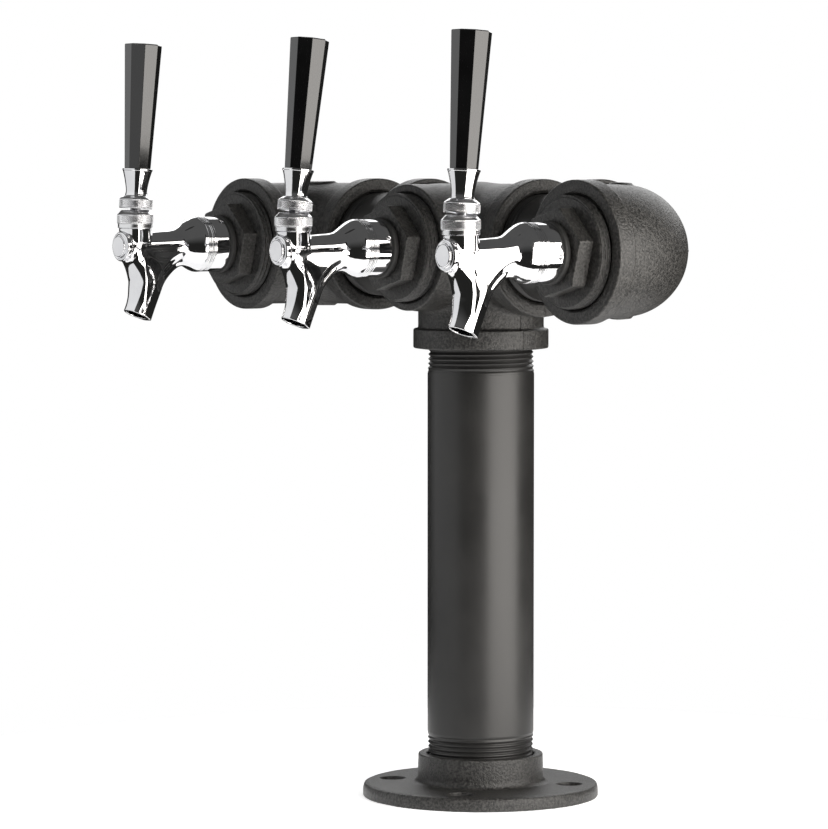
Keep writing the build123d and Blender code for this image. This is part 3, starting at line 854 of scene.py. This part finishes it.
# radius at each place along the barrel
bell = [(18.0, 19.3), (23.2, 19.3), (25.0, 18.7), (27.8, 17.3), (30.8, 15.6), (33.8, 13.8), (36.8, 12.2),
        (39.8, 11.1), (43.5, 10.5), (50.0, 10.15), (60.0, 9.7), (76.0, 9.5)]
spoutKnots = [(74.4, -6.0), (71.0, -10.3), (67.5, -14.5), (64.6, -18.6), (63.0, -22.6), (62.6, -26.6), (63.4, -30.6),
              (65.2, -34.8), (67.9, -40.6), (71.7, -48.8), (75.0, -56.0)]
ribKnots = [(28.5, -11.6), (32.4, -13.0), (37.4, -15.9), (42.9, -19.9), (48.4, -25.9), (52.9, -33.8), (56.9, -43.0),
            (60.4, -52.5)]
spoutRoute = splineRoute(spoutKnots)
bendAt = 27  # the point of the route at the waist
ribRear = splineRoute(ribKnots)
ribOutline = ribRear + spoutRoute[::-1] + [(74.0, 0.0), (28.5, 0.0)]
rimGrooves = [(19.5, 0.6, 0.38), (21.1, 0.5, 0.36), (22.6, 0.45, 0.36)]  # place, depth, half width


def faucetField(x, y, z):
    f = faucet
    out = -y
    upright = np.hypot(x, out - stations["left"]["pivotOut"])
    # barrel, bell and rim are one spine whose radius shrinks towards the nose
    middle = -f["sag"] * np.maximum(out - f["sagFrom"], 0)
    radius = curveAt(out, bell)
    slope = np.sqrt(1 + (curveAt(out + 0.5, bell) - curveAt(out - 0.5, bell)) ** 2)
    for at, deep, half in rimGrooves:
        radius = radius - deep * np.exp(-((out - at) / half) ** 2)
    low = np.hypot(x, z - middle)
    body = smoothMax((low - radius) / slope, f["rim"] - out, 0.8)
    body = smoothMax(body, out - f["nose"] + 1.0, 0.8)
    # nose with its raised button
    nose = disc(low, out, f["noseRadius"], f["nose"] - 4.6, f["nose"], f["noseEdge"])
    body = smoothMin(body, nose, 0.9)
    moat = np.exp(-((low - f["moat"]) / 0.55) ** 2) * 0.6
    body = body + moat * (out > f["nose"] - 2)
    body = smoothMin(body, disc(low, out, f["button"], f["nose"] - 1, f["nose"] + f["buttonHigh"], 0.8), 0.35)
    # neck under the bonnet
    neck = disc(upright, z, f["neck"], 1.5, f["neckTop"], 0.5)
    body = smoothMin(body, neck, 1.3)
    # spout; the front of its bend is filled in, so that it runs up to the nose in one sweep
    spoutFlat = pathDistance(out, z, spoutRoute)
    upper = np.sqrt(pathDistance(out, z, spoutRoute[:bendAt + 1]) + x * x) - f["spout"]
    under = np.sqrt(pathDistance(out, z, spoutRoute[bendAt:]) + x * x) - f["spout"]
    spout = smoothMin(upper, under, 0.3 + f["bendFill"] * smoothStep((out - 63) / 8))
    # rib behind the spout: round at its rear edge, and thicker the further in it goes
    edge = polygonDistance(out, z, ribOutline)
    across = np.sign(edge) * np.sqrt(pathDistance(out, z, ribRear)) + f["rib"]
    rib = np.hypot(np.maximum(across, 0), x) - f["rib"] - f["ribSwell"] * smoothStep(-across / f["ribRamp"])
    lower = smoothMin(spout, np.maximum(rib, edge), 4.0)
    body = smoothMin(body, lower, 5.0 - 3.4 * smoothStep((out - 74) / 5))
    body = smoothMin(body, disc(upright, z, f["boss"], 0, f["bossTop"], 0.2), 0.3)
    body = np.minimum(body, disc(np.hypot(x, z), out, f["thread"], f["rear"], f["rim"] + 2, 0.3))
    # mouth of the spout
    a = math.radians(f["tipTilt"])
    past = (out - f["tipOut"]) * math.sin(a) - (z + f["tipDown"]) * math.cos(a)
    body = smoothMax(body, past, 0.7)
    # hollows
    bore = np.maximum(np.sqrt(spoutFlat + x * x) - f["spoutBore"], z)
    pivotUp = stations["left"]["pivotUp"]
    ball = np.sqrt(upright ** 2 + (z - pivotUp) ** 2) - f["socket"]
    # room under the ball for the finger to swing
    swing = upright - f["chamber"] + f["mouthTaper"] * np.maximum(z - f["chamber"], 0)
    swing = np.maximum(swing, np.maximum(-z, z - f["mouthTop"]))
    hollow = lowest(
        disc(low, out, f["chamber"], f["rear"] - 5, f["seatFrom"], 0.1),
        disc(low, out, f["seatBore"], f["rear"], f["seatTo"] + 1, 0.1),
        disc(low, out, f["chamber"], f["seatTo"], f["chamberEnd"], 0.1),
        bore, ball, swing, disc(upright, z, f["socket"], pivotUp, 32, 0.1))
    return smoothMax(body, -hollow, 0.35)


faucetShell = skin(faucetField, (-21, -88, -55), (21, -11, 22), 0.48)
atStations("FaucetBody", "faucet_body", faucetShell, "chrome")
say("faucet bodies")


# ---------- bonnet, lever, collar and ferrule ----------

bonnet = {"radius": 12.7, "depth": 0.58, "diamonds": 58, "knurlLow": 15.2, "knurlHigh": 21.0, "round": 0.35,
          "outline": [(12.45, 21.2), (9.5, 24.4), (7.75, 24.4), (7.75, 21.7), (10.5, 21.7), (10.5, 11.9),
                      (12.0, 11.9), (12.0, 14.8), (12.3, 15.0)]}
collar = {"radius": 11.7, "depth": 0.55, "diamonds": 54, "knurlLow": 26.2, "knurlHigh": 31.4, "round": 0.3,
          "outline": [(11.5, 31.7), (10.6, 32.7), (8.3, 34.3), (4.86, 34.3), (4.86, 30.25), (7.0, 29.2), (9.4, 27.4),
                      (10.6, 26.15), (11.2, 25.3), (11.5, 25.9)]}
knurlCrease = 24
lever = {"ball": 7.5, "stem": 3.7, "stud": 4.76, "studFrom": 30.5, "studTo": 69.0, "finger": 2.0, "tip": 2.8,
         "arm": 17.5}


def leverOutline():
    v = lever
    up = stations["left"]["pivotUp"]
    tipZ = up - v["arm"]
    points = [(0.0, tipZ - v["tip"])]
    for k in range(1, 8):
        a = math.radians(-90 + 18 * k)
        if v["tip"] * math.cos(a) < v["finger"] and k > 4:
            break
        points.append((v["tip"] * math.cos(a), tipZ + v["tip"] * math.sin(a)))
    points.append((v["finger"], tipZ + v["tip"]))
    for k in range(13):
        a = math.radians(-72 + 11 * k)
        if -72 + 11 * k > 58:
            break
        points.append((v["ball"] * math.cos(a), up + v["ball"] * math.sin(a)))
    stemFoot = up + math.sqrt(v["ball"] ** 2 - v["stem"] ** 2)
    points += [(v["stem"], stemFoot), (v["stem"], v["studFrom"]), (v["stud"], v["studFrom"] + 0.8),
               (v["stud"], v["studTo"] - 1), (v["stud"] - 1, v["studTo"]), (0.0, v["studTo"])]
    return points


ferrule = {"bottom": 34.3, "top": 53.0, "foot": 7.6, "waist": 7.15, "lip": 10.45, "bore": 4.86}


def ferruleOutline():
    f = ferrule
    points = [(f["bore"], f["bottom"]), (f["foot"] + 0.5, f["bottom"]), (f["foot"], f["bottom"] + 1.2)]
    for k in range(1, 12):
        t = k / 12
        swell = f["waist"] + (f["lip"] - 0.35 - f["waist"]) * t ** 1.55
        points.append((max(swell, f["foot"] - 3.0 * t), f["bottom"] + 1.2 + (f["top"] - f["bottom"] - 2.8) * t))
    points += [(f["lip"] - 0.3, f["top"] - 1.5), (f["lip"], f["top"] - 1.2), (f["lip"], f["top"]),
               (f["bore"], f["top"])]
    return points


bonnetShell = moved(knurledRing(bonnet), Matrix.Translation((0, -stations["left"]["pivotOut"], 0)))
collarShell = knurledRing(collar)
leverShell = lathe(leverOutline(), 0.0, 64)
ferruleShell = lathe(ferruleOutline(), 0.25, 128, 3)
atStations("Bonnet", "bonnet", bonnetShell, "chrome", False, knurlCrease, knurlLook)
atStations("LeverCollar", "lever_collar", collarShell, "chrome", True, knurlCrease, knurlLook)
atStations("Lever", "lever", leverShell, "chrome", True)
atStations("Ferrule", "ferrule", ferruleShell, "chrome", True)
say("bonnets and levers")


# ---------- knob ----------

knob = {"low": 53.0, "high": 139.6, "base": 9.1, "crown": 13.05, "sides": 8, "turn": 18.0, "corner": 0.55,
        "topRound": 1.0, "bottomRound": 0.5, "bore": 4.86, "boreDeep": 17.0}


def octagonRing(reach, z, inset):
    # one ring round the knob, with each corner a small arc
    k = knob
    ring = []
    half = math.pi / k["sides"]
    flat = (reach - inset) * math.cos(half)
    small = max(k["corner"] - inset * 0.3, 0.12)
    for i in range(k["sides"]):
        middle = math.radians(k["turn"]) + 2 * half * i
        centre = (flat - small) / math.cos(half)
        for j in range(5):
            a = middle - half + 2 * half * j / 4
            ring.append((centre * math.cos(middle) + small * math.cos(a),
                         centre * math.sin(middle) + small * math.sin(a), z))
    return ring


def knobShell():
    k = knob
    rings = []

    def ring(z, inset):
        t = (z - k["low"]) / (k["high"] - k["low"])
        rings.append(octagonRing(k["base"] + (k["crown"] - k["base"]) * t, z, inset))

    def roundRing(radius, z):
        count = k["sides"] * 5
        rings.append([(radius * math.cos(a), radius * math.sin(a), z)
                      for a in (math.radians(k["turn"]) - math.pi / k["sides"] + 2 * math.pi * i / count
                                for i in range(count))])

    roundRing(0.001, k["low"] + k["boreDeep"])
    roundRing(k["bore"], k["low"] + k["boreDeep"])
    roundRing(k["bore"], k["low"])
    for j in range(5):
        a = math.radians(90 * j / 4)
        ring(k["low"] + k["bottomRound"] * (1 - math.cos(a)), k["bottomRound"] * (1 - math.sin(a)))
    for j in range(1, 12):
        ring(k["low"] + (k["high"] - k["low"]) * j / 12, 0.0)
    for j in range(6):
        a = math.radians(90 * j / 5)
        ring(k["high"] - k["topRound"] * (1 - math.sin(a)), k["topRound"] * (1 - math.cos(a)))
    ring(k["high"], k["crown"] * 0.5)
    roundRing(0.001, k["high"])
    columns = len(rings[0])
    points = np.array([p for r in rings for p in r])
    faces = []
    for j in range(len(rings) - 1):
        for c in range(columns):
            d = (c + 1) % columns
            faces.append([j * columns + c, j * columns + d, (j + 1) * columns + d, (j + 1) * columns + c])
    points, faces = weld(points, faces, 0.01)
    return points, faces, areaNormals(points, faces)


atStations("Knob", "knob", knobShell(), "knob_black", True)
say("knobs")


# ---------- pieces kept from the frame: only their finish changes ----------

slotOf = {part["node"]: part["material_slot"] for part in frame["record"]["subparts"]}
for node, thing in frame["nodes"].items():
    if thing.hide_render:
        continue
    thing.data.materials.clear()
    thing.data.materials.append(looks[slotOf[node]])
say("inner pieces finished")


# ---------- floor, light, camera ----------

cameraSpot = {"azimuth": 52.27, "distance": 2.82135, "height": 0.43132, "look": 53.2, "pitch": 3.43,
              "lens": 179.0663}
table = {"radius": 0.46, "rings": 8, "around": 96, "glow": 0.66}


def turnFrom(angle):
    # flat direction at this many degrees to the right of the camera, seen from the tower
    a = math.radians(cameraSpot["look"] - 90 + angle)
    return Vector((math.cos(a), math.sin(a), 0))


def placeCamera():
    c = cameraSpot
    a, b, p = (math.radians(c[k]) for k in ("azimuth", "look", "pitch"))
    camera = bpy.data.objects.new("camera", bpy.data.cameras.new("camera"))
    camera.location = (c["distance"] * math.sin(a), -c["distance"] * math.cos(a), c["height"])
    ahead = Vector((-math.sin(b) * math.cos(p), math.cos(b) * math.cos(p), -math.sin(p)))
    camera.rotation_euler = ahead.to_track_quat("-Z", "Y").to_euler()
    camera.data.sensor_width = 36.0
    camera.data.lens = c["lens"]
    camera.data.clip_end = 100.0
    bpy.context.scene.collection.objects.link(camera)
    bpy.context.scene.camera = camera


def paleFloor():
    # a round white table top, only as wide as the light under the faucets needs
    mesh = bpy.data.meshes.new("floor")
    rings, around = table["rings"], table["around"]
    points = [(0.0, 0.0, 0.0)]
    for j in range(1, rings + 1):
        radius = table["radius"] * j / rings
        points += [(radius * math.cos(2 * math.pi * i / around), radius * math.sin(2 * math.pi * i / around), 0.0)
                   for i in range(around)]
    faces = [[0, 1 + i, 1 + (i + 1) % around] for i in range(around)]
    faces += [[1 + (j - 1) * around + i, 1 + j * around + i, 1 + j * around + (i + 1) % around,
               1 + (j - 1) * around + (i + 1) % around] for j in range(1, rings) for i in range(around)]
    mesh.from_pydata(points, [], faces)
    floor = bpy.data.objects.new("floor", mesh)
    material, shader, web = newMaterial("paleFloor")
    pale = [(0.3, (0.86, 0.86, 0.86)), (0.7, (0.9, 0.9, 0.9))]
    web.link(web.ramp(web.noise(3.0), pale), shader.inputs["Base Color"])
    web.link(web.spread(web.noise(8.0), 0.75, 0.9), shader.inputs["Roughness"])
    shader.inputs["Emission Color"].default_value = (1, 1, 1, 1)
    shader.inputs["Emission Strength"].default_value = table["glow"]
    mesh.materials.append(material)
    bpy.context.scene.collection.objects.link(floor)


def studioWorld():
    # white behind the object for the camera; a dim room, a little lighter overhead, for everything else
    world = bpy.data.worlds.new("studio")
    bpy.context.scene.world = world
    world.use_nodes = True
    tree = world.node_tree
    tree.nodes.clear()
    kinds = ("OutputWorld", "MixShader", "LightPath", "Background", "Background", "TexCoord", "SeparateXYZ",
             "ValToRGB")
    out, mix, ray, room, backdrop, place, split, ramp = (tree.nodes.new("ShaderNode" + kind) for kind in kinds)
    low, high = ramp.color_ramp.elements
    low.position, low.color = 0.05, (0.018, 0.018, 0.017, 1)
    high.position, high.color = 0.55, (0.085, 0.085, 0.084, 1)
    backdrop.inputs["Color"].default_value = (1, 1, 1, 1)
    for source, target in ((place.outputs["Generated"], split.inputs[0]), (split.outputs["Z"], ramp.inputs["Fac"]),
                           (ramp.outputs["Color"], room.inputs["Color"]),
                           (ray.outputs["Is Camera Ray"], mix.inputs[0]), (room.outputs[0], mix.inputs[1]),
                           (backdrop.outputs[0], mix.inputs[2]), (mix.outputs[0], out.inputs[0])):
        tree.links.new(source, target)


def panel(name, middle, facing, width, tall, glow, colour):
    # area light given by how bright it looks, not by its power
    lamp = bpy.data.lights.new(name, "AREA")
    lamp.shape = "RECTANGLE"
    lamp.size, lamp.size_y = width, tall
    lamp.energy = glow * math.pi * width * tall
    lamp.color = colour
    sheet = bpy.data.objects.new(name, lamp)
    sheet.location = middle
    sheet.rotation_euler = Vector(facing).to_track_quat("-Z", "Y").to_euler()
    bpy.context.scene.collection.objects.link(sheet)


placeCamera()
studioWorld()
paleFloor()
# big warm panel to the right, a white card in front of the left faucets, and one high behind
panel("rightPanel", (0.75, 0.225, 0.36), (-1, 0, 0), 1.05, 0.92, 4.9, (1.0, 0.965, 0.92))
panel("frontCard", (-0.78, -0.49, 0.52), (0, 1, 0), 1.66, 0.96, 0.8, (0.99, 0.995, 1.0))
panel("backPanel", turnFrom(172) * 1.9 + Vector((0, 0, 1.16)), turnFrom(-8) * 1.9 + Vector((0, 0, -1.0)),
      2.2, 1.1, 1.9, (1.0, 1.0, 1.0))
bpy.context.scene.view_settings.view_transform = "Standard"
say("stage set")
